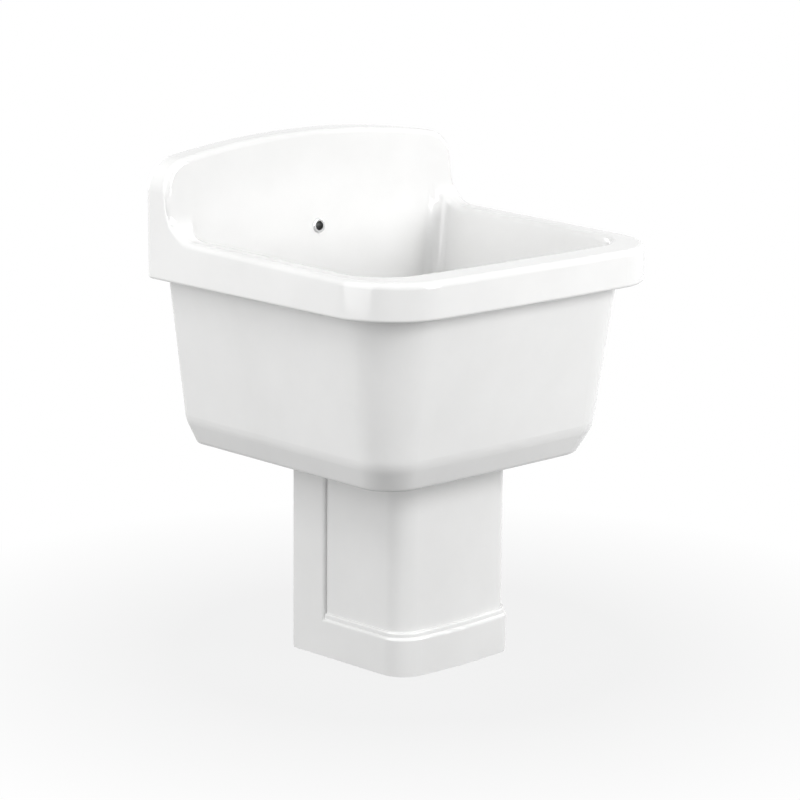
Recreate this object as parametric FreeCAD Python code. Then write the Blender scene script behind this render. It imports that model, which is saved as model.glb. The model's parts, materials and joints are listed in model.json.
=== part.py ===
import FreeCAD, Part
import math
import os

V = FreeCAD.Vector

# Overall sizes of the sink, millimetres
WIDTH = 500.0
DEPTH = 454.0
HEIGHT = 661.2
SPLASH_RISE = 116.0
RIM_BAND = 56.0
RIM_FALL = 1.2
BASIN_BOTTOM = 263.5

# Rim outline
RIM_WIDTH = 29.0
RIM_FRONT = 48.0
RIM_BOW = 5.1
RIM_CORNER = 89.5
RIM_OUTER_ROUND = 8.0
RIM_INNER_ROUND = 9.0
RIM_LIP_ROUND = 4.0

# Splashback
SPLASH_THICK = 50.0
SPLASH_LEAN = 4.0
SPLASH_ARCH = 24.0
SPLASH_CORNER = 42.0
SPLASH_SWEEP = 48.0
BACK_ROUND = 14.0

# Bowl body under the rim
BODY_INSET = 28.0
BODY_CORNER = 82.0
BODY_BOW = 4.6
BODY_BACK_INSET = 6.0
BODY_BACK_CORNER = 14.0
BODY_LEAN = 7.78
BODY_FRONT_LEAN = 7.87
BODY_CORNER_LEAN = 9.2
BEVEL_TOP = 298.1
FOOT_STEP = 15.7
FOOT_FRONT_STEP = 16.4
FOOT_CORNER_STEP = 3.0
FOOT_BOW = 3.6
BEVEL_ROUND = 45.0
FOOT_ROUND = 9.0

# Cavity of the bowl
WALL_BACK_STEP = 1.5
CAVITY_FLOOR = 293.0
CAVITY_CORNER = 60.0
CAVITY_BACK_CORNER = 22.0
CAVITY_FLOOR_WALL = 16.0
CAVITY_FLOOR_BOW = 4.0
CAVITY_FLOOR_ROUND = 19.0

# Overflow
OVERFLOW_DROP = 9.0
OVERFLOW_HOLE_R = 8.0
OVERFLOW_RING_R = 10.0
OVERFLOW_RING_T = 2.2
OVERFLOW_BORE_R = 6.2
OVERFLOW_SLEEVE = 9.0
RING_GAP = 0.3
DUCT_WIDTH = 40.0
DUCT_DEPTH = 14.0
DUCT_WALL = 10.0
DUCT_FLOOR = 272.0
DUCT_RISE = 8.0

# Waste outlet
DRAIN_Y = 0.0
DRAIN_HOLE_R = 27.0
SEAT_R = 40.0
SEAT_DROP = 6.0
GASKET_T = 2.0
GASKET_R = 36.0
FLANGE_R = 38.5
FLANGE_T = 4.0
FLANGE_ROUND = 1.0
TAIL_R = 24.0
TAIL_BORE = 20.5
TAIL_BOTTOM = 206.0
LEDGE_R = 25.0
LEDGE_DROP = 2.6
TAIL_SLOTS = 6
TAIL_SLOT_W = 8.0
CONE_WASHER_T = 10.0
CONE_WASHER_R = 36.0
SLIP_WASHER_T = 2.5
NUT_T = 12.0
NUT_ACROSS = 62.0
FIT_GAP = 0.4

# Strainer and press plug
RUN_GAP = 0.4
SEAT_GAP = 0.05
STRAINER_RIM_T = 1.6
STRAINER_DEPTH = 10.0
STRAINER_WALL = 1.2
STRAINER_HOLES = 8
STRAINER_HOLE_R = 2.6
STRAINER_GAP = 0.7
BARREL_R = 8.0
BARREL_BORE = 6.4
BARREL_LENGTH = 42.0
BARREL_FLOOR = 2.0
COLLAR_R = 10.5
COLLAR_T = 2.0
SPRING_R = 4.6
SPRING_WIRE = 0.6
SPRING_LENGTH = 19.0
SPRING_TURNS = 6
PLUG_TRAVEL = 9.0
PLUG_R = 31.0
PLUG_T = 4.5
PLUG_DISH = 1.2
PLUG_SEAL_T = 2.2
PLUG_SEAL_W = 3.6
PLUG_SEAL_INSET = 2.0
STEM_R = 3.0
PISTON_T = 4.0
STEM_HEAD_R = 7.0
STEM_HEAD_T = 3.0

# Bottle trap
UNION_R = 31.0
UNION_T = 20.0
UNION_RIBS = 12
UNION_WASHER_T = 4.0
NUT_LIP = 2.0
RIB_R = 1.6
SOCKET_GAP = 1.5
TRAP_NECK_R = 27.5
TRAP_NECK_TOP = 222.0
TRAP_HEAD_R = 33.0
TRAP_HEAD_TOP = 205.0
TRAP_HEAD_BOTTOM = 158.0
TRAP_WALL = 3.0
DIP_R = 17.0
DIP_BOTTOM = 108.0
SKIRT_R = 29.0
SKIRT_DROP = 12.0
CUP_R = 35.0
CUP_BOTTOM = 92.0
CUP_RIBS = 16
CUP_SEAL_T = 2.5
CUP_ROUND = 10.0
CUP_RIB_H = 18.0
OUTLET_Z = 182.0
OUTLET_R = 16.0
OUTLET_WALL = 2.2
OUTLET_STUB_R = 19.5
OUTLET_STUB = 46.0
OUTLET_NUT_R = 24.0
OUTLET_NUT_T = 17.0
OUTLET_WASHER_T = 3.5
OUTLET_REACH = 82.0
OUTLET_INSERT = 9.0
ELBOW_R = 27.0
ROSE_R = 30.0
ROSE_T = 7.0

# Pedestal
SEAL_T = 2.5
SEAL_W = 8.0
PED_HALF = 106.3
PED_TAPER = 9.1
PED_BACK = 96.5
PED_FRONT = -97.1
PED_BOW = 8.2
PED_CORNER = 31.0
PED_WALL = 14.0
PLINTH_H = 51.0
PLINTH_OUT = 5.5
PLINTH_FRONT = 7.5
PLINTH_EDGE = 4.5
BEAD_H = 6.0
BEAD_OUT = 3.0
BEAD_EDGE = 2.6
STRIP_W = 56.0

HALF = WIDTH / 2.0
Y_BACK = DEPTH / 2.0
Y_FRONT = -DEPTH / 2.0
RIM_TOP = HEIGHT - SPLASH_RISE
RIM_BOTTOM = RIM_TOP - RIM_BAND
BODY_HEIGHT = RIM_BOTTOM - BEVEL_TOP
BEVEL_INSET = BODY_INSET + BODY_HEIGHT * math.tan(math.radians(BODY_LEAN))
BEVEL_FRONT_INSET = BODY_INSET + BODY_HEIGHT * math.tan(math.radians(BODY_FRONT_LEAN))
BEVEL_CORNER = BODY_CORNER - BODY_HEIGHT * math.tan(math.radians(BODY_CORNER_LEAN))
FOOT_INSET = BEVEL_INSET + FOOT_STEP
FOOT_FRONT_INSET = BEVEL_FRONT_INSET + FOOT_FRONT_STEP
FOOT_CORNER = BEVEL_CORNER - FOOT_CORNER_STEP
CAVITY_FLOOR_INSET = BEVEL_INSET + CAVITY_FLOOR_WALL
LEAN = math.tan(math.radians(SPLASH_LEAN))
LEAN_COS = math.cos(math.radians(SPLASH_LEAN))
LEAN_SIN = math.sin(math.radians(SPLASH_LEAN))
FALL_COS = math.cos(math.radians(RIM_FALL))
FALL_SIN = math.sin(math.radians(RIM_FALL))
SPLASH_Y = Y_BACK - SPLASH_THICK
SEAT_Z = CAVITY_FLOOR - SEAT_DROP
FLANGE_Z = SEAT_Z + GASKET_T
FLANGE_TOP = FLANGE_Z + FLANGE_T
LEDGE_Z = FLANGE_TOP - LEDGE_DROP
PED_TOP = BASIN_BOTTOM - SEAL_T
NUT_TOP = BASIN_BOTTOM - CONE_WASHER_T - SLIP_WASHER_T
AXIS_X = V(1, 0, 0)
AXIS_Y = V(0, 1, 0)
AXIS_Z = V(0, 0, 1)


# Basic solids on the drain axis
def disc(radius, low, high, y=DRAIN_Y):
    return Part.makeCylinder(radius, high - low, V(0, y, low))


def tube(outer, inner, low, high, y=DRAIN_Y):
    return disc(outer, low, high, y).cut(disc(inner, low - 1, high + 1, y))


def cone(r_low, r_high, low, high):
    return Part.makeCone(r_low, r_high, high - low, V(0, DRAIN_Y, low))


def block(x0, x1, y0, y1, z0, z1):
    return Part.makeBox(x1 - x0, y1 - y0, z1 - z0, V(x0, y0, z0))


def around(shape, angle):
    turned = shape.copy()
    turned.rotate(V(0, DRAIN_Y, 0), AXIS_Z, angle)
    return turned


def fuse_all(shapes):
    return shapes[0].fuse(shapes[1:]).removeSplitter()


# Half outline of a shape with a bowed edge, in flat coordinates where the bow points to +v
def bow_points(half, apex, bow, corner, taper=0.0, base=0.0):
    radius = (half * half + bow * bow) / (2.0 * bow)
    centre_v = apex - radius
    if taper == 0.0:
        slope = 0.0
    else:
        slope = math.atan2(taper, apex - bow - base)
    nx = math.cos(slope)
    nv = math.sin(slope)
    wall = half * nx + base * nv
    reach = radius - corner
    foot = wall - corner - centre_v * nv
    along = math.sqrt(reach * reach - foot * foot)
    fx = foot * nx - along * nv
    fv = centre_v + foot * nv + along * nx
    ux = fx / reach
    uv = (fv - centre_v) / reach
    side = (fx + corner * nx, fv + corner * nv)
    front = (radius * ux, centre_v + radius * uv)
    mx = nx + ux
    mv = nv + uv
    size = math.hypot(mx, mv)
    middle = (fx + corner * mx / size, fv + corner * mv / size)
    return side, middle, front


def arc(a, b, c):
    return Part.Arc(a, b, c).toShape()


def line(a, b):
    return Part.LineSegment(a, b).toShape()


# Closed plan outline: straight sides, bowed front towards -Y, rounded corners
def plan(z, half, back, front, bow, corner, back_corner=0.0, taper=0.0):
    side, middle, nose = bow_points(half, -front, bow, corner, taper, -back)

    def at(x, v):
        return V(x, -v, z)

    c = back_corner
    d = c * (1.0 - math.sqrt(0.5))
    edges = []
    edges.append(line(V(half, back - c, z), at(*side)))
    edges.append(arc(at(*side), at(*middle), at(*nose)))
    edges.append(arc(at(*nose), at(0, -front), at(-nose[0], nose[1])))
    edges.append(arc(at(-nose[0], nose[1]), at(-middle[0], middle[1]), at(-side[0], side[1])))
    edges.append(line(at(-side[0], side[1]), V(-half, back - c, z)))
    if c > 0:
        edges.append(arc(V(-half, back - c, z), V(-half + d, back - d, z), V(-half + c, back, z)))
    edges.append(line(V(-half + c, back, z), V(half - c, back, z)))
    if c > 0:
        edges.append(arc(V(half - c, back, z), V(half - d, back - d, z), V(half, back - c, z)))
    return Part.Wire(edges)


def raised(wire, height):
    return Part.Face(wire).extrude(V(0, 0, height))


# Front face of the splashback at a height
def splash_front(z):
    return SPLASH_Y + (z - RIM_TOP) * LEAN


# Arc between the falling rim and the leaning splashback: centre, tangent length and bisector
def sweep_arc():
    y = LEAN_SIN - FALL_COS
    z = LEAN_COS - FALL_SIN
    size = math.hypot(y, z)
    half_angle = math.radians(90.0 + SPLASH_LEAN + RIM_FALL) / 2.0
    length = SPLASH_SWEEP / math.tan(half_angle)
    away = SPLASH_SWEEP / math.sin(half_angle)
    centre = V(0, SPLASH_Y + away * y / size, RIM_TOP + away * z / size)
    return centre, length, V(0, y / size, z / size)


# Side profile: rim that falls a little to the front and sweeps up into the leaning splashback
def sweep_profile():
    top = HEIGHT + 20.0
    out = DEPTH
    centre, length, bisector = sweep_arc()
    side = V(-WIDTH, 0, 0)
    knee = V(-WIDTH, SPLASH_Y, RIM_TOP)
    start = knee + V(0, -length * FALL_COS, -length * FALL_SIN)
    end = knee + V(0, length * LEAN_SIN, length * LEAN_COS)
    middle = side + centre - bisector * SPLASH_SWEEP
    front = knee + V(0, -out, -out * FALL_SIN / FALL_COS)
    corners = [V(-WIDTH, splash_front(top), top), V(-WIDTH, out, top), V(-WIDTH, out, RIM_BOTTOM)]
    corners += [V(-WIDTH, front.y, RIM_BOTTOM), front, start]
    edges = [arc(start, middle, end)]
    last = end
    for corner in corners:
        edges.append(line(last, corner))
        last = corner
    return Part.Face(Part.Wire(edges)).extrude(V(2 * WIDTH, 0, 0))


# Front profile: straight ends and an arched top with rounded corners
def arch_profile():
    side, middle, nose = bow_points(HALF, HEIGHT, SPLASH_ARCH, SPLASH_CORNER)
    y = -DEPTH
    low = RIM_BOTTOM

    def at(x, v):
        return V(x, y, v)

    edges = []
    edges.append(line(at(HALF, low), at(*side)))
    edges.append(arc(at(*side), at(*middle), at(*nose)))
    edges.append(arc(at(*nose), at(0, HEIGHT), at(-nose[0], nose[1])))
    edges.append(arc(at(-nose[0], nose[1]), at(-middle[0], middle[1]), at(-side[0], side[1])))
    edges.append(line(at(-side[0], side[1]), at(-HALF, low)))
    edges.append(line(at(-HALF, low), at(HALF, low)))
    return Part.Face(Part.Wire(edges)).extrude(V(0, 2 * DEPTH, 0))


def middle_of(edge):
    return edge.valueAt((edge.FirstParameter + edge.LastParameter) / 2.0)


# Height of a point over the swept top surface, zero on the surface
def over_sweep(p):
    centre, length, bisector = sweep_arc()
    dy = p.y - SPLASH_Y
    dz = p.z - RIM_TOP
    if -dy * FALL_COS - dz * FALL_SIN >= length:
        return dz * FALL_COS - dy * FALL_SIN
    if dy * LEAN_SIN + dz * LEAN_COS >= length:
        return dz * LEAN_SIN - dy * LEAN_COS
    return SPLASH_SWEEP - math.hypot(p.y - centre.y, p.z - centre.z)


def is_cross_line(edge):
    a = edge.Vertexes[0].Point
    b = edge.Vertexes[-1].Point
    return abs(a.y - b.y) < 0.01 and abs(a.z - b.z) < 0.01 and abs(a.x) > HALF / 2.0


# Rim and splashback in one, with rounded outer edges
def rim_solid():
    outline = plan(RIM_BOTTOM, HALF, Y_BACK, Y_FRONT, RIM_BOW, RIM_CORNER)
    shape = raised(outline, HEIGHT).common(sweep_profile()).common(arch_profile())
    shape = shape.removeSplitter()
    outer = []
    for edge in shape.Edges:
        p = middle_of(edge)
        if abs(over_sweep(p)) < 0.05 and not is_cross_line(edge):
            outer.append(edge)
    shape = shape.makeFillet(RIM_OUTER_ROUND, outer)
    back = []
    for edge in shape.Edges:
        p = middle_of(edge)
        if p.y > Y_BACK - 0.01 and p.z > RIM_BOTTOM + 1:
            back.append(edge)
    shape = shape.makeFillet(BACK_ROUND, back)
    lip = [e for e in shape.Edges if abs(middle_of(e).z - RIM_BOTTOM) < 0.01]
    return shape.makeFillet(RIM_LIP_ROUND, lip)


# Tapered bowl body with the bevel round its foot
def body_solid():
    back = Y_BACK - BODY_BACK_INSET
    tuck = RIM_BAND / 2.0
    grow = 1.0 + tuck / BODY_HEIGHT
    high_half = HALF - BEVEL_INSET + (BEVEL_INSET - BODY_INSET) * grow
    high_front = Y_FRONT + BEVEL_FRONT_INSET - (BEVEL_FRONT_INSET - BODY_INSET) * grow
    bc = BODY_BACK_CORNER
    high = plan(RIM_BOTTOM + tuck, high_half, back, high_front, BODY_BOW, BODY_CORNER, bc)
    mid = plan(BEVEL_TOP, HALF - BEVEL_INSET, back, Y_FRONT + BEVEL_FRONT_INSET,
               BODY_BOW, BEVEL_CORNER, bc)
    low = plan(BASIN_BOTTOM, HALF - FOOT_INSET, back - (FOOT_INSET - BEVEL_INSET) / 3.0,
               Y_FRONT + FOOT_FRONT_INSET, FOOT_BOW, FOOT_CORNER, bc)
    shape = Part.makeLoft([low, mid, high], True, True)
    bevel = [e for e in shape.Edges if abs(e.BoundBox.ZMax - BEVEL_TOP) < 0.01
             and e.BoundBox.ZLength < 0.01]
    shape = shape.makeFillet(BEVEL_ROUND, bevel)
    foot = [e for e in shape.Edges if e.BoundBox.ZMax < BASIN_BOTTOM + 0.01]
    return shape.makeFillet(FOOT_ROUND, foot)


# Section of the bowl cavity at a height, with walls that lean outwards
def cavity_section(z):
    share = (z - CAVITY_FLOOR) / (RIM_TOP - CAVITY_FLOOR)
    half = HALF - CAVITY_FLOOR_INSET + (CAVITY_FLOOR_INSET - RIM_WIDTH) * share
    front = Y_FRONT + CAVITY_FLOOR_INSET - (CAVITY_FLOOR_INSET - RIM_FRONT) * share
    bow = CAVITY_FLOOR_BOW + (RIM_BOW - CAVITY_FLOOR_BOW) * share
    back = splash_front(z) - WALL_BACK_STEP
    return plan(z, half, back, front, bow, CAVITY_CORNER, CAVITY_BACK_CORNER)


def cavity_solid():
    top = RIM_TOP + SPLASH_SWEEP
    shape = Part.makeLoft([cavity_section(CAVITY_FLOOR), cavity_section(top)], True, True)
    floor = [e for e in shape.Edges if e.BoundBox.ZMax < CAVITY_FLOOR + 0.01]
    return shape.makeFillet(CAVITY_FLOOR_ROUND, floor)


# Centre of the overflow on the inner back wall
def overflow_centre():
    z = RIM_TOP - OVERFLOW_DROP
    return V(0, splash_front(z) - WALL_BACK_STEP, z)


# Hidden passage from the overflow down to the drain
def duct_solid():
    w = DUCT_WIDTH / 2.0
    top = RIM_TOP - OVERFLOW_DROP + OVERFLOW_HOLE_R + 6.0
    near = splash_front(top) + DUCT_WALL - WALL_BACK_STEP
    drop = block(-w, w, near, near + DUCT_DEPTH, DUCT_FLOOR, top)
    run = block(-w, w, DRAIN_Y, near + DUCT_DEPTH, DUCT_FLOOR, DUCT_FLOOR + DUCT_RISE)
    mouth = Part.makeCylinder(OVERFLOW_HOLE_R, DUCT_WALL + DUCT_DEPTH / 2.0 + 5.0,
                              overflow_centre() + V(0, -5 * LEAN_COS, 5 * LEAN_SIN),
                              V(0, LEAN_COS, -LEAN_SIN))
    return drop.fuse([run, mouth]).removeSplitter()


def make_basin():
    shell = rim_solid().fuse(body_solid()).removeSplitter()
    cavity = cavity_solid()
    shell = shell.cut(cavity).removeSplitter()
    inner = []
    for edge in shell.Edges:
        p = middle_of(edge)
        across = p.z > RIM_TOP + 1 and is_cross_line(edge)
        if abs(over_sweep(p)) < 0.05 and not across:
            if cavity.Shells[0].distToShape(Part.Vertex(p))[0] < 0.01:
                inner.append(edge)
    shell = shell.makeFillet(RIM_INNER_ROUND, inner)
    shell = shell.cut(duct_solid())
    shell = shell.cut(disc(DRAIN_HOLE_R, BASIN_BOTTOM - 5, CAVITY_FLOOR + 5))
    shell = shell.cut(disc(SEAT_R, SEAT_Z, CAVITY_FLOOR + 5))
    return shell.removeSplitter()


# Chrome ring pressed into the overflow hole
def make_overflow_ring():
    centre = overflow_centre()
    out = V(0, -LEAN_COS, LEAN_SIN)
    inward = V(0, LEAN_COS, -LEAN_SIN)
    flange = Part.makeCylinder(OVERFLOW_RING_R, OVERFLOW_RING_T, centre, out)
    face = centre + out * OVERFLOW_RING_T
    rim = [e for e in flange.Edges if len(e.Vertexes) == 1 and e.CenterOfMass.distanceToPoint(face) < 0.1]
    flange = flange.makeFillet(OVERFLOW_RING_T * 0.7, rim)
    sleeve = Part.makeCylinder(OVERFLOW_HOLE_R - RING_GAP, OVERFLOW_SLEEVE, centre, inward)
    bore = Part.makeCylinder(OVERFLOW_BORE_R, OVERFLOW_SLEEVE * 3, face + out, inward)
    return flange.fuse(sleeve).removeSplitter().cut(bore)


# Pedestal outlines: the shaft, and the frame of plinth and rear strips that stands proud of it
def shaft_outline(z, inset):
    corner = PED_CORNER * (1.0 - inset / (2.0 * PED_WALL))
    return plan(z, PED_HALF - inset, PED_BACK, PED_FRONT + inset, PED_BOW, corner, 0.0, PED_TAPER)


def frame_outline(z, back_off):
    return plan(z, PED_HALF + back_off, PED_BACK, PED_FRONT - PLINTH_FRONT * back_off / PLINTH_OUT,
                PED_BOW, PED_CORNER + back_off, 0.0, PED_TAPER)


# Hollow of the pedestal, open at the top, the bottom and the back
def pedestal_hollow(inset, low, high):
    extra = PED_WALL
    length = PED_BACK - PED_FRONT - PED_BOW
    grow = PED_TAPER * extra / length
    corner = PED_CORNER * (1.0 - inset / (2.0 * PED_WALL))
    outline = plan(low, PED_HALF - inset + grow, PED_BACK + extra, PED_FRONT + inset, PED_BOW,
                   corner, 0.0, PED_TAPER + grow)
    return raised(outline, high - low)


def rounded_top(shape, top, radius):
    edges = []
    for e in shape.Edges:
        p = middle_of(e)
        if abs(p.z - top) < 0.01 and abs(e.BoundBox.ZLength) < 0.01 and p.y < PED_BACK - 0.01:
            edges.append(e)
    return shape.makeFillet(radius, edges)


def make_pedestal():
    shaft = raised(shaft_outline(0, 0.0), PED_TOP)
    plinth = rounded_top(raised(frame_outline(0, PLINTH_OUT), PLINTH_H), PLINTH_H, PLINTH_EDGE)
    bead_top = PLINTH_H + BEAD_H
    bead = rounded_top(raised(frame_outline(0, BEAD_OUT), bead_top), bead_top, BEAD_EDGE)
    strip = raised(frame_outline(0, PLINTH_OUT), PED_TOP)
    strip = strip.common(block(-WIDTH, WIDTH, PED_BACK - STRIP_W, WIDTH, 0, PED_TOP))
    front = []
    for e in strip.Edges:
        p = middle_of(e)
        if e.BoundBox.ZLength > PED_TOP - 1 and p.y < PED_BACK - STRIP_W + 0.01:
            front.append(e)
    strip = strip.makeFillet(PLINTH_EDGE, front)
    shape = fuse_all([shaft, plinth, bead, strip])
    return shape.cut(pedestal_hollow(PED_WALL, -1, PED_TOP + 1)).removeSplitter()


# Rubber strip that beds the basin on the pedestal
def make_bedding_seal():
    edge = (PED_WALL - SEAL_W) / 2.0
    outer = raised(shaft_outline(PED_TOP, edge), SEAL_T)
    return outer.cut(pedestal_hollow(edge + SEAL_W, PED_TOP - 1, BASIN_BOTTOM + 1))


# Waste flange and tail with slots for the overflow
def make_waste_body():
    flange = disc(FLANGE_R, FLANGE_Z, FLANGE_TOP)
    rim = [e for e in flange.Edges if abs(middle_of(e).z - FLANGE_TOP) < 0.01]
    flange = flange.makeFillet(FLANGE_ROUND, rim)
    shape = flange.fuse(disc(TAIL_R, TAIL_BOTTOM, FLANGE_TOP - FLANGE_T / 2.0))
    shape = shape.cut(disc(TAIL_BORE, TAIL_BOTTOM - 1, FLANGE_TOP + 1))
    shape = shape.cut(disc(LEDGE_R, LEDGE_Z, FLANGE_TOP + 1))
    half = TAIL_SLOT_W / 2.0
    slot = block(-half, half, DRAIN_Y, DRAIN_Y + TAIL_R * 2, DUCT_FLOOR, DUCT_FLOOR + DUCT_RISE)
    for i in range(TAIL_SLOTS):
        shape = shape.cut(around(slot, 360.0 * i / TAIL_SLOTS))
    return shape.removeSplitter()


def make_flange_gasket():
    return tube(GASKET_R, TAIL_R + FIT_GAP, SEAT_Z, FLANGE_Z)


def make_tapered_washer():
    low = BASIN_BOTTOM - CONE_WASHER_T
    body = cone(CONE_WASHER_R - CONE_WASHER_T / 3.0, CONE_WASHER_R, low, BASIN_BOTTOM)
    return body.cut(disc(TAIL_R + FIT_GAP, low - 1, BASIN_BOTTOM + 1))


def make_slip_washer():
    return tube(CONE_WASHER_R - CONE_WASHER_T / 3.0, TAIL_R + FIT_GAP, NUT_TOP, NUT_TOP + SLIP_WASHER_T)


# Six-sided nut with its corners turned off
def make_back_nut():
    low = NUT_TOP - NUT_T
    corner = NUT_ACROSS / math.sqrt(3.0)
    points = []
    for i in range(7):
        a = math.radians(60.0 * i)
        points.append(V(corner * math.cos(a), DRAIN_Y + corner * math.sin(a), low))
    shape = raised(Part.makePolygon(points), NUT_T)
    flat = NUT_ACROSS / 2.0
    shape = shape.common(cone(flat, flat + NUT_T, low, NUT_TOP))
    return shape.cut(disc(TAIL_R + FIT_GAP, low - 1, NUT_TOP + 1))


# Lift-out strainer that hangs by its rim on the ledge of the waste
STRAINER_LOW = LEDGE_Z + SEAT_GAP
STRAINER_FLOOR = STRAINER_LOW - STRAINER_DEPTH
BARREL_LOW = STRAINER_FLOOR + COLLAR_T - BARREL_LENGTH
SPRING_LOW = BARREL_LOW + BARREL_FLOOR
PISTON_LOW = SPRING_LOW + SPRING_LENGTH
PLUG_LOW = FLANGE_TOP + SEAT_GAP + PLUG_TRAVEL
CAP_LOW = PLUG_LOW + PLUG_SEAL_T


def make_strainer_basket():
    wall_r = TAIL_BORE - STRAINER_GAP
    shape = disc(LEDGE_R - RUN_GAP, STRAINER_LOW, STRAINER_LOW + STRAINER_RIM_T)
    shape = shape.fuse(disc(wall_r, STRAINER_FLOOR - STRAINER_WALL, STRAINER_LOW + STRAINER_RIM_T / 2.0))
    shape = shape.cut(disc(wall_r - STRAINER_WALL, STRAINER_FLOOR, STRAINER_LOW + STRAINER_RIM_T + 1))
    shape = shape.cut(disc(BARREL_R + FIT_GAP, STRAINER_FLOOR - STRAINER_WALL - 1, STRAINER_FLOOR + 1))
    ring = (wall_r - STRAINER_WALL + COLLAR_R) / 2.0
    hole = Part.makeCylinder(STRAINER_HOLE_R, STRAINER_WALL + 2,
                             V(ring, DRAIN_Y, STRAINER_FLOOR - STRAINER_WALL - 1))
    for i in range(STRAINER_HOLES):
        shape = shape.cut(around(hole, 360.0 * i / STRAINER_HOLES))
    return shape.removeSplitter()


def make_click_barrel():
    top = STRAINER_FLOOR + COLLAR_T
    shape = disc(BARREL_R, BARREL_LOW, top).fuse(disc(COLLAR_R, STRAINER_FLOOR, top))
    shape = shape.cut(disc(BARREL_BORE, SPRING_LOW, STRAINER_FLOOR))
    return shape.cut(disc(STEM_R + RUN_GAP, STRAINER_FLOOR - 1, top + 1)).removeSplitter()


# Round wire wound between the barrel floor and the piston
def make_click_spring():
    rise = SPRING_LENGTH - 2 * SPRING_WIRE
    helix = Part.makeHelix(rise / SPRING_TURNS, rise, SPRING_R)
    start = helix.Edges[0].valueAt(helix.Edges[0].FirstParameter)
    section = Part.Wire(Part.makeCircle(SPRING_WIRE, start, AXIS_Y))
    shape = Part.Wire(helix.Edges).makePipeShell([section], True, True)
    shape.translate(V(0, DRAIN_Y, SPRING_LOW + SPRING_WIRE))
    return shape


# Press plug: dished cap, sealing ring and stem with its piston
def make_plug_cap():
    cap = disc(PLUG_R, CAP_LOW, CAP_LOW + PLUG_T)
    rim = [e for e in cap.Edges if abs(middle_of(e).z - CAP_LOW - PLUG_T) < 0.01]
    cap = cap.makeFillet(PLUG_T * 0.6, rim)
    sphere_r = PLUG_R * PLUG_R / (2.0 * PLUG_DISH)
    dish = Part.makeSphere(sphere_r, V(0, DRAIN_Y, CAP_LOW + PLUG_T + sphere_r - PLUG_DISH))
    return cap.cut(dish)


def make_plug_seal():
    outer = PLUG_R - PLUG_SEAL_INSET
    return tube(outer, outer - PLUG_SEAL_W, PLUG_LOW, CAP_LOW)


def make_plug_stem():
    shape = disc(STEM_R, PISTON_LOW, CAP_LOW)
    shape = shape.fuse(disc(BARREL_BORE - RUN_GAP, PISTON_LOW, PISTON_LOW + PISTON_T))
    return shape.fuse(disc(STEM_HEAD_R, CAP_LOW - STEM_HEAD_T, CAP_LOW)).removeSplitter()


# Grip ribs on the outside of a union nut that lies on the drain axis
def with_ribs(shape, radius, count, low, high):
    rib = Part.makeCylinder(RIB_R, high - low, V(radius, DRAIN_Y, low))
    return fuse_all([shape] + [around(rib, 360.0 * i / count) for i in range(count)])


def make_inlet_washer():
    return tube(TRAP_NECK_R, TAIL_R + FIT_GAP, TRAP_NECK_TOP, TRAP_NECK_TOP + UNION_WASHER_T)


def make_inlet_nut():
    under = TRAP_NECK_TOP + UNION_WASHER_T
    top = under + NUT_LIP
    low = top - UNION_T
    shape = with_ribs(disc(UNION_R, low, top), UNION_R, UNION_RIBS, low, top)
    shape = shape.cut(disc(TRAP_NECK_R + FIT_GAP, low - 1, under))
    return shape.cut(disc(TAIL_R + FIT_GAP, low, top + 1)).removeSplitter()


def along_y(radius, y0, y1, z=OUTLET_Z):
    return Part.makeCylinder(radius, y1 - y0, V(0, y0, z), AXIS_Y)


# Trap head with the inlet neck, the dip tube and the outlet stub
def make_trap_body():
    stub_end = DRAIN_Y + OUTLET_STUB
    skirt_low = TRAP_HEAD_BOTTOM - SKIRT_DROP
    chamber_top = TRAP_HEAD_TOP - TRAP_WALL
    socket_low = TAIL_BOTTOM - SOCKET_GAP
    head = disc(TRAP_HEAD_R, TRAP_HEAD_BOTTOM, TRAP_HEAD_TOP)
    top = [e for e in head.Edges if abs(middle_of(e).z - TRAP_HEAD_TOP) < 0.01]
    head = head.makeFillet(TRAP_WALL, top)
    neck = disc(TRAP_NECK_R, TRAP_HEAD_TOP - TRAP_WALL, TRAP_NECK_TOP)
    skirt = disc(SKIRT_R, skirt_low, TRAP_HEAD_BOTTOM + 1)
    stub = along_y(OUTLET_STUB_R, DRAIN_Y, stub_end)
    shape = fuse_all([head, neck, skirt, stub])
    shape = shape.cut(disc(TRAP_HEAD_R - TRAP_WALL, TRAP_HEAD_BOTTOM + TRAP_WALL, chamber_top))
    shape = shape.cut(disc(SKIRT_R - TRAP_WALL, skirt_low - 1, TRAP_HEAD_BOTTOM + TRAP_WALL + 1))
    shape = shape.cut(along_y(OUTLET_R + FIT_GAP, DRAIN_Y, stub_end + 1))
    shape = shape.fuse(disc(DIP_R, DIP_BOTTOM, chamber_top + TRAP_WALL / 2.0))
    shape = shape.cut(disc(DIP_R - TRAP_WALL * 0.7, DIP_BOTTOM - 1, TRAP_NECK_TOP))
    return shape.cut(disc(TAIL_R + FIT_GAP, socket_low, TRAP_NECK_TOP + 1)).removeSplitter()


def make_trap_cup_seal():
    return tube(TRAP_HEAD_R, SKIRT_R + FIT_GAP, TRAP_HEAD_BOTTOM - CUP_SEAL_T, TRAP_HEAD_BOTTOM)


def make_trap_cup():
    top = TRAP_HEAD_BOTTOM - CUP_SEAL_T
    shape = disc(CUP_R, CUP_BOTTOM, top)
    low = [e for e in shape.Edges if abs(middle_of(e).z - CUP_BOTTOM) < 0.01]
    shape = shape.makeFillet(CUP_ROUND, low)
    shape = with_ribs(shape, CUP_R, CUP_RIBS, top - CUP_RIB_H, top)
    hollow = disc(SKIRT_R + FIT_GAP, CUP_BOTTOM + CUP_ROUND * 0.6, top + 1)
    low = [e for e in hollow.Edges if middle_of(e).z < CUP_BOTTOM + CUP_ROUND]
    return shape.cut(hollow.makeFillet(CUP_ROUND * 0.5, low)).removeSplitter()


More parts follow.
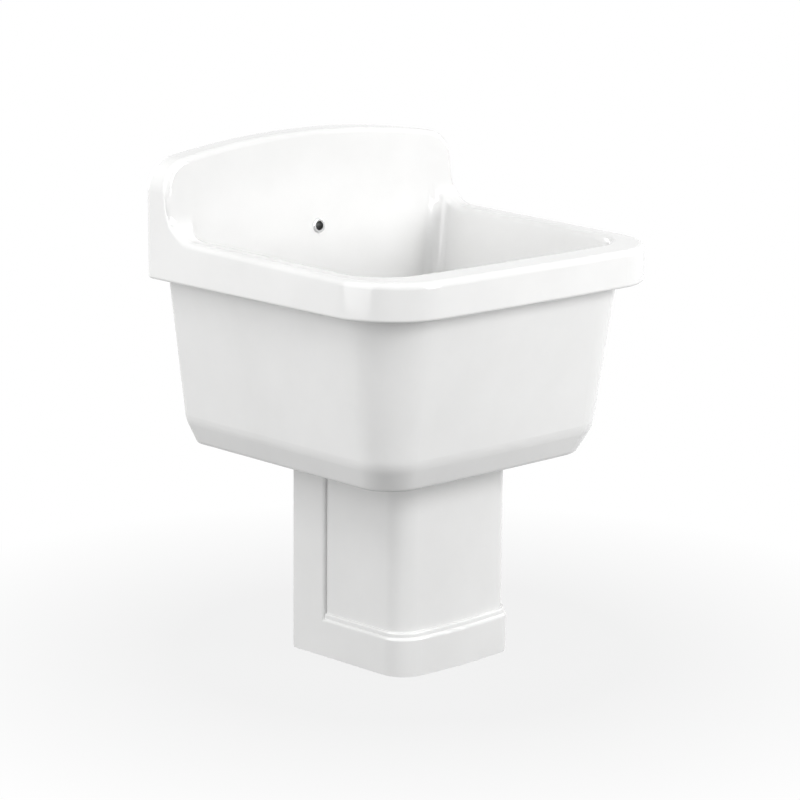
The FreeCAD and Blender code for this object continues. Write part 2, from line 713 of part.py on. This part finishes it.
def make_outlet_washer():
    start = DRAIN_Y + OUTLET_STUB
    end = start + OUTLET_WASHER_T
    return along_y(OUTLET_STUB_R, start, end).cut(along_y(OUTLET_R + FIT_GAP, start - 1, end + 1))


def make_outlet_nut():
    under = DRAIN_Y + OUTLET_STUB + OUTLET_WASHER_T
    end = under + NUT_LIP
    start = end - OUTLET_NUT_T
    shape = [along_y(OUTLET_NUT_R, start, end)]
    for i in range(UNION_RIBS):
        a = math.radians(360.0 * (i + 0.5) / UNION_RIBS)
        spot = V(OUTLET_NUT_R * math.cos(a), start, OUTLET_Z + OUTLET_NUT_R * math.sin(a))
        shape.append(Part.makeCylinder(RIB_R, OUTLET_NUT_T, spot, AXIS_Y))
    nut = fuse_all(shape).cut(along_y(OUTLET_STUB_R + FIT_GAP, start - 1, under))
    return nut.cut(along_y(OUTLET_R + FIT_GAP, start, end + 1)).removeSplitter()


# Outlet pipe: out of the stub, round an elbow and down to the floor
def make_outlet_pipe():
    start = DRAIN_Y + OUTLET_STUB - OUTLET_INSERT
    drop_y = DRAIN_Y + OUTLET_REACH
    bend_y = drop_y - ELBOW_R
    bend_z = OUTLET_Z - ELBOW_R
    pipes = []
    for radius in (OUTLET_R, OUTLET_R - OUTLET_WALL):
        ring = Part.Face(Part.Wire(Part.makeCircle(radius, V(0, bend_y, OUTLET_Z), AXIS_Y)))
        elbow = ring.revolve(V(0, bend_y, bend_z), AXIS_X, -90.0)
        level = along_y(radius, start, bend_y)
        down = disc(radius, 0, bend_z, drop_y)
        pipes.append(fuse_all([level, elbow, down]))
    return pipes[0].cut(pipes[1])


def make_floor_rose():
    y = DRAIN_Y + OUTLET_REACH
    body = Part.makeCone(ROSE_R, OUTLET_R + ROSE_T, ROSE_T, V(0, y, 0))
    return body.cut(disc(OUTLET_R + FIT_GAP, -1, ROSE_T + 1, y))


PIECES = [
    ("basin", make_basin),
    ("pedestal", make_pedestal),
    ("bedding_seal", make_bedding_seal),
    ("overflow_ring", make_overflow_ring),
    ("waste_body", make_waste_body),
    ("flange_gasket", make_flange_gasket),
    ("tapered_washer", make_tapered_washer),
    ("slip_washer", make_slip_washer),
    ("back_nut", make_back_nut),
    ("strainer_basket", make_strainer_basket),
    ("click_barrel", make_click_barrel),
    ("click_spring", make_click_spring),
    ("plug_cap", make_plug_cap),
    ("plug_seal", make_plug_seal),
    ("plug_stem", make_plug_stem),
    ("inlet_nut", make_inlet_nut),
    ("inlet_washer", make_inlet_washer),
    ("trap_body", make_trap_body),
    ("trap_cup", make_trap_cup),
    ("trap_cup_seal", make_trap_cup_seal),
    ("outlet_nut", make_outlet_nut),
    ("outlet_washer", make_outlet_washer),
    ("outlet_pipe", make_outlet_pipe),
    ("floor_rose", make_floor_rose),
]

os.makedirs("parts", exist_ok=True)
for name, make in PIECES:
    make().exportStep("parts/%s.step" % name)
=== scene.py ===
import json
import math
import bpy
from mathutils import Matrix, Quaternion, Vector


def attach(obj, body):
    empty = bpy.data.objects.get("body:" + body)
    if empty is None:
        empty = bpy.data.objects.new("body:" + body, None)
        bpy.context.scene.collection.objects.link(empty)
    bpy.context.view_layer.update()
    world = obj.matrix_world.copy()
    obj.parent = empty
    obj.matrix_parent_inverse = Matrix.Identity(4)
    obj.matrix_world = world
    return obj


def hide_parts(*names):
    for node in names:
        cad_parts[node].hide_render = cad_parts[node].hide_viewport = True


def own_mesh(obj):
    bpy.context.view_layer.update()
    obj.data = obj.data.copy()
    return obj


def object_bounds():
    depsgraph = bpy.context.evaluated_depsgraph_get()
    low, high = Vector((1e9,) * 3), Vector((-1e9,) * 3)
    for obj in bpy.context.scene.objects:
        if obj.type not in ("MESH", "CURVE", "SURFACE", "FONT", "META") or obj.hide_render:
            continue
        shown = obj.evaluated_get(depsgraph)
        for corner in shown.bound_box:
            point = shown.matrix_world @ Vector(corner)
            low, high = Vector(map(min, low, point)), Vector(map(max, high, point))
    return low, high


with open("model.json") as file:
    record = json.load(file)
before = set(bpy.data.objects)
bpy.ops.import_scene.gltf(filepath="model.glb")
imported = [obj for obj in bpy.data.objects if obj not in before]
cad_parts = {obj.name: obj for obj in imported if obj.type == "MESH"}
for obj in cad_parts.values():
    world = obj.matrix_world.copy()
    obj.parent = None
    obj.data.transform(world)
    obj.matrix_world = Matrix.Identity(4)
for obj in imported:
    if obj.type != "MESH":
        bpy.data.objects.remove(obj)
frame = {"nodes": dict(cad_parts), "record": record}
cad_low, cad_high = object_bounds()
scene = bpy.context.scene

# Camera of the photograph: degrees to the left of the front, degrees up, metres, millimetres
CAMERA_TURN = 43.31
CAMERA_RISE = 12.70
CAMERA_AWAY = 3.695
CAMERA_AIM = (-0.0080, 0.0075, 0.3309)
CAMERA_ROLL = 0.5
CAMERA_LENS = 129.32
CAMERA_SENSOR = 36.0
CAMERA_REACH = 100.0

# Lamps: degrees from the front towards +X, degrees up, metres away, watts, width and height in metres
LAMPS = {
    "key": (21.0, 19.0, 2.4, 47.0, 1.0, 1.3),
    "left": (-92.0, 12.0, 2.6, 37.0, 2.2, 2.0),
    "right": (80.0, 24.0, 2.4, 12.0, 1.3, 1.3),
    "high": (-98.0, 50.0, 2.4, 20.0, 1.6, 1.3),
    "back": (180.0, 14.0, 2.6, 26.0, 2.0, 1.4),
}
LAMP_AIM = (0.0, 0.0, 0.4)

# Soft light around: the way that counts as behind, its strength in front and behind, and where it changes
BEHIND = (0.69, 0.72, 0.0)
SOFT_FRONT = 0.48
SOFT_BEHIND = 0.22
SOFT_START = -0.3
SOFT_END = 0.7

# Floor: side, darker and lighter tone, gloss, whiteness near the object and far away, and where it changes
FLOOR_SIDE = 16.0
FLOOR_DARK = (0.12, 0.12, 0.12)
FLOOR_LIGHT = (0.14, 0.14, 0.14)
FLOOR_SPECKS = 3.0
FLOOR_ROUGH = 0.8
FLOOR_SHINE = 0.1
WHITE_NEAR = 0.86
WHITE_FAR = 1.0
WHITE_START = 0.30
WHITE_END = 0.75
WHITE = (1.0, 1.0, 1.0, 1.0)

# Glaze: cloud, film and wave per metre, gloss limits, wave strength and height, refraction and clear coat
CLOUD_SCALE = 9.0
FILM_SCALE = 40.0
WAVE_SCALE = 26.0
WAVE_ROUGH = 0.4
GLAZE_SMOOTH = 0.07
GLAZE_DULL = 0.13
WAVE_STRENGTH = 0.10
WAVE_HEIGHT = 0.0006
GLAZE_REFRACTION = 1.52
COAT_WEIGHT = 0.15
COAT_ROUGH = 0.04

# Glazed pieces: darker and lighter tone
GLAZES = {
    "glaze": ((0.755, 0.755, 0.75), (0.785, 0.785, 0.78)),
    "pedestal_glaze": ((0.745, 0.745, 0.74), (0.775, 0.775, 0.77)),
}

# Metals: darker and lighter tone, gloss limits, grain per metre and its height in metres
METALS = {
    "chrome": ((0.74, 0.75, 0.76), (0.82, 0.83, 0.84), 0.04, 0.12, 900.0, 0.00002),
    "brass": ((0.66, 0.50, 0.22), (0.76, 0.60, 0.29), 0.18, 0.34, 1200.0, 0.00005),
    "steel": ((0.56, 0.57, 0.58), (0.66, 0.67, 0.68), 0.16, 0.32, 1500.0, 0.00004),
}
METAL_BODY = {"cloud": 60.0, "detail": 3.0, "relief": 0.15, "metallic": 1.0}

# Rubber and plastic: the same values as for the metals
MOULDINGS = {
    "seal_rubber": ((0.62, 0.62, 0.60), (0.72, 0.72, 0.70), 0.5, 0.7, 900.0, 0.0001),
    "black_rubber": ((0.02, 0.02, 0.02), (0.05, 0.05, 0.05), 0.5, 0.75, 900.0, 0.0001),
    "white_plastic": ((0.78, 0.78, 0.77), (0.84, 0.84, 0.83), 0.25, 0.4, 700.0, 0.00006),
}
MOULDED_BODY = {"cloud": 35.0, "detail": 4.0, "relief": 0.2, "metallic": 0.0}

# Wall below the splashback: heights between which its step is eased, the step, and how far ahead it is eased
EASE_LOW = 0.5460
EASE_HIGH = 0.5755
SPLASH_STEP = 0.0018
EASE_REACH = 0.0120
# Splashback's face: share of the height it lies above, least turn to the front, and slack at its lower edge
SPLASH_SHARE = 0.9
SPLASH_FACING = 0.9
SPLASH_SLACK = 0.0005
# Shading is smoothed where it is turned at least this much the way of the splashback
SHADE_FACING = 0.5


def link(tree, a, out, b, into):
    tree.links.new(a.outputs[out], b.inputs[into])


def node(tree, kind, **values):
    made = tree.nodes.new(kind)
    for key, value in values.items():
        setattr(made, key, value)
    return made


# Noise in object space, at a scale per metre
def noise(tree, coords, scale, detail=3.0, rough=0.55):
    made = node(tree, "ShaderNodeTexNoise")
    made.inputs["Scale"].default_value = scale
    made.inputs["Detail"].default_value = detail
    made.inputs["Roughness"].default_value = rough
    link(tree, coords, "Object", made, "Vector")
    return made


# Colour between two tones along a noise
def tones(tree, source, low, high, start=0.35, end=0.65):
    ramp = node(tree, "ShaderNodeValToRGB")
    ramp.color_ramp.elements[0].position = start
    ramp.color_ramp.elements[0].color = (*low, 1.0)
    ramp.color_ramp.elements[1].position = end
    ramp.color_ramp.elements[1].color = (*high, 1.0)
    link(tree, source, "Fac", ramp, "Fac")
    return ramp


# Number between two limits along a value
def span(tree, source, out, low, high, start=0.3, end=0.7):
    made = node(tree, "ShaderNodeMapRange")
    made.inputs["From Min"].default_value = start
    made.inputs["From Max"].default_value = end
    made.inputs["To Min"].default_value = low
    made.inputs["To Max"].default_value = high
    link(tree, source, out, made, "Value")
    return made


def new_material(name):
    mat = bpy.data.materials.new(name)
    mat.use_nodes = True
    tree = mat.node_tree
    shader = tree.nodes["Principled BSDF"]
    coords = node(tree, "ShaderNodeTexCoord")
    return mat, tree, shader, coords


# Relief of a surface along a noise
def bump(tree, shader, source, strength, height):
    made = node(tree, "ShaderNodeBump")
    made.inputs["Strength"].default_value = strength
    made.inputs["Distance"].default_value = height
    link(tree, source, "Fac", made, "Height")
    link(tree, made, "Normal", shader, "Normal")


# Glazed china: faint clouding, soft waviness of the fired glaze, high gloss
def glaze(name, low, high):
    mat, tree, shader, coords = new_material(name)
    cloud = noise(tree, coords, CLOUD_SCALE, detail=4.0)
    link(tree, tones(tree, cloud, low, high), "Color", shader, "Base Color")
    film = noise(tree, coords, FILM_SCALE)
    gloss = span(tree, film, "Fac", GLAZE_SMOOTH, GLAZE_DULL)
    link(tree, gloss, "Result", shader, "Roughness")
    wave = noise(tree, coords, WAVE_SCALE, detail=2.0, rough=WAVE_ROUGH)
    bump(tree, shader, wave, WAVE_STRENGTH, WAVE_HEIGHT)
    shader.inputs["IOR"].default_value = GLAZE_REFRACTION
    shader.inputs["Coat Weight"].default_value = COAT_WEIGHT
    shader.inputs["Coat Roughness"].default_value = COAT_ROUGH
    return mat


# Metal, rubber or plastic: mottled tone, fine grain in gloss and relief
def grained(name, low, high, smooth, dull, grain, height, cloud, detail, relief, metallic):
    mat, tree, shader, coords = new_material(name)
    mottle = noise(tree, coords, cloud, detail)
    link(tree, tones(tree, mottle, low, high), "Color", shader, "Base Color")
    fine = noise(tree, coords, grain, detail)
    link(tree, span(tree, fine, "Fac", smooth, dull), "Result", shader, "Roughness")
    bump(tree, shader, fine, relief, height)
    shader.inputs["Metallic"].default_value = metallic
    return mat


finishes = {}
for name, values in GLAZES.items():
    finishes[name] = glaze(name, *values)
for name, values in METALS.items():
    finishes[name] = grained(name, *values, **METAL_BODY)
for name, values in MOULDINGS.items():
    finishes[name] = grained(name, *values, **MOULDED_BODY)

slot_of = {}
for entry in frame["record"]["subparts"]:
    slot_of[entry["node"]] = entry["material_slot"]
for name, obj in frame["nodes"].items():
    obj.data.materials.clear()
    obj.data.materials.append(finishes[slot_of[name]])


# Glazed skin of the basin: the small step across the back is drawn out into a soft ramp
def basin_skin():
    source = frame["nodes"]["basin"].data
    mesh = source.copy()
    faces = []
    for face in source.polygons:
        if face.center.z > SPLASH_SHARE * cad_high[2] and face.normal.y < -SPLASH_FACING:
            faces.append(face)
    splash = max(faces, key=lambda face: face.area)
    plane = splash.normal.copy()
    top = min(source.vertices[i].co.z for i in splash.vertices) + SPLASH_SLACK
    ahead = []
    inside = []
    fade = []
    for vertex in source.vertices:
        step = (vertex.co - splash.center).dot(plane)
        share = (EASE_REACH - step) / (EASE_REACH - SPLASH_STEP)
        ahead.append(step)
        inside.append(EASE_LOW < vertex.co.z < top and abs(step) < EASE_REACH)
        fade.append(min(max(share, 0.0), 1.0))
    for i, vertex in enumerate(mesh.vertices):
        if inside[i] and ahead[i] > 0.0:
            rise = (vertex.co.z - EASE_LOW) / (EASE_HIGH - EASE_LOW)
            vertex.co -= plane * min(ahead[i], SPLASH_STEP * fade[i]) * min(rise, 1.0)
    normals = []
    for corner, loop in zip(source.corner_normals, source.loops):
        normal = corner.vector.copy()
        i = loop.vertex_index
        if inside[i] and normal.dot(plane) > SHADE_FACING:
            normal = normal.lerp(plane, fade[i]).normalized()
        normals.append(normal)
    mesh.normals_split_custom_set(normals)
    skin = bpy.data.objects.new("basin_skin", mesh)
    scene.collection.objects.link(skin)
    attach(skin, "sink")
    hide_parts("basin")


basin_skin()


# Plug spring: its own copy of the mesh, carried with the strainer in place of the original
def plug_spring():
    spring = bpy.data.objects.new("plug_spring", frame["nodes"]["click_spring"].data.copy())
    scene.collection.objects.link(spring)
    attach(spring, "strainer")
    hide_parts("click_spring")
    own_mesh(spring)


plug_spring()


# One for what is seen directly, in a mirror or through glass, and nought for light on a matt surface
def seen_ray(tree):
    ray = node(tree, "ShaderNodeLightPath")
    mirrored = node(tree, "ShaderNodeMath", operation="MAXIMUM")
    link(tree, ray, "Is Camera Ray", mirrored, 0)
    link(tree, ray, "Is Glossy Ray", mirrored, 1)
    seen = node(tree, "ShaderNodeMath", operation="MAXIMUM")
    link(tree, mirrored, "Value", seen, 0)
    link(tree, ray, "Is Transmission Ray", seen, 1)
    return seen


# Floor: shaded near the object, plain white far away
def floor_material():
    mat, tree, shader, coords = new_material("floor")
    speck = noise(tree, coords, FLOOR_SPECKS)
    link(tree, tones(tree, speck, FLOOR_DARK, FLOOR_LIGHT), "Color", shader, "Base Color")
    shader.inputs["Roughness"].default_value = FLOOR_ROUGH
    shader.inputs["Specular IOR Level"].default_value = FLOOR_SHINE
    glow = node(tree, "ShaderNodeEmission")
    glow.inputs["Color"].default_value = WHITE
    glow.inputs["Strength"].default_value = 1.0
    far = node(tree, "ShaderNodeVectorMath", operation="LENGTH")
    link(tree, coords, "Object", far, "Vector")
    edge = span(tree, far, "Value", WHITE_NEAR, WHITE_FAR, WHITE_START, WHITE_END)
    share = node(tree, "ShaderNodeMath", operation="MULTIPLY")
    link(tree, edge, "Result", share, 0)
    link(tree, seen_ray(tree), "Value", share, 1)
    mix = node(tree, "ShaderNodeMixShader")
    link(tree, share, "Value", mix, "Fac")
    link(tree, shader, "BSDF", mix, 1)
    link(tree, glow, "Emission", mix, 2)
    link(tree, mix, "Shader", tree.nodes["Material Output"], "Surface")
    return mat


bpy.ops.mesh.primitive_plane_add(size=FLOOR_SIDE, location=(0.0, 0.0, 0.0))
floor = bpy.context.object
floor.name = "floor"
floor.data.materials.append(floor_material())


# Point at an angle from the front towards +X, an angle up, and a distance
def around(turn, rise, away, aim):
    turn = math.radians(turn)
    rise = math.radians(rise)
    flat = math.cos(rise)
    return Vector(aim) + away * Vector((math.sin(turn) * flat, -math.cos(turn) * flat, math.sin(rise)))


# Turn from a place towards the point it looks at
def towards(place, aim):
    return (Vector(aim) - place).to_track_quat("-Z", "Y")


def area_light(name, turn, rise, away, power, width, height):
    data = bpy.data.lights.new(name, "AREA")
    data.shape = "RECTANGLE"
    data.size = width
    data.size_y = height
    data.energy = power
    lamp = bpy.data.objects.new(name, data)
    lamp.location = around(turn, rise, away, LAMP_AIM)
    lamp.rotation_euler = towards(lamp.location, LAMP_AIM).to_euler()
    scene.collection.objects.link(lamp)


for name, values in LAMPS.items():
    area_light(name, *values)


# World: white where it is seen, and soft light on the object that is weaker from behind
def make_world():
    world = bpy.data.worlds.new("studio")
    world.use_nodes = True
    tree = world.node_tree
    soft = tree.nodes["Background"]
    soft.inputs["Color"].default_value = WHITE
    coords = node(tree, "ShaderNodeTexCoord")
    behind = node(tree, "ShaderNodeVectorMath", operation="DOT_PRODUCT")
    behind.inputs[1].default_value = BEHIND
    link(tree, coords, "Generated", behind, 0)
    strength = span(tree, behind, "Value", SOFT_FRONT, SOFT_BEHIND, SOFT_START, SOFT_END)
    link(tree, strength, "Result", soft, "Strength")
    seen = node(tree, "ShaderNodeBackground")
    seen.inputs["Color"].default_value = WHITE
    seen.inputs["Strength"].default_value = 1.0
    mix = node(tree, "ShaderNodeMixShader")
    link(tree, seen_ray(tree), "Value", mix, "Fac")
    link(tree, soft, "Background", mix, 1)
    link(tree, seen, "Background", mix, 2)
    link(tree, mix, "Shader", tree.nodes["World Output"], "Surface")
    scene.world = world


make_world()

lens = bpy.data.cameras.new("camera")
lens.lens = CAMERA_LENS
lens.sensor_width = CAMERA_SENSOR
lens.clip_end = CAMERA_REACH
camera = bpy.data.objects.new("camera", lens)
camera.location = around(-CAMERA_TURN, CAMERA_RISE, CAMERA_AWAY, CAMERA_AIM)
roll = Quaternion((0.0, 0.0, 1.0), math.radians(CAMERA_ROLL))
camera.rotation_euler = (towards(camera.location, CAMERA_AIM) @ roll).to_euler()
scene.collection.objects.link(camera)
scene.camera = camera
scene.view_settings.view_transform = "Standard"
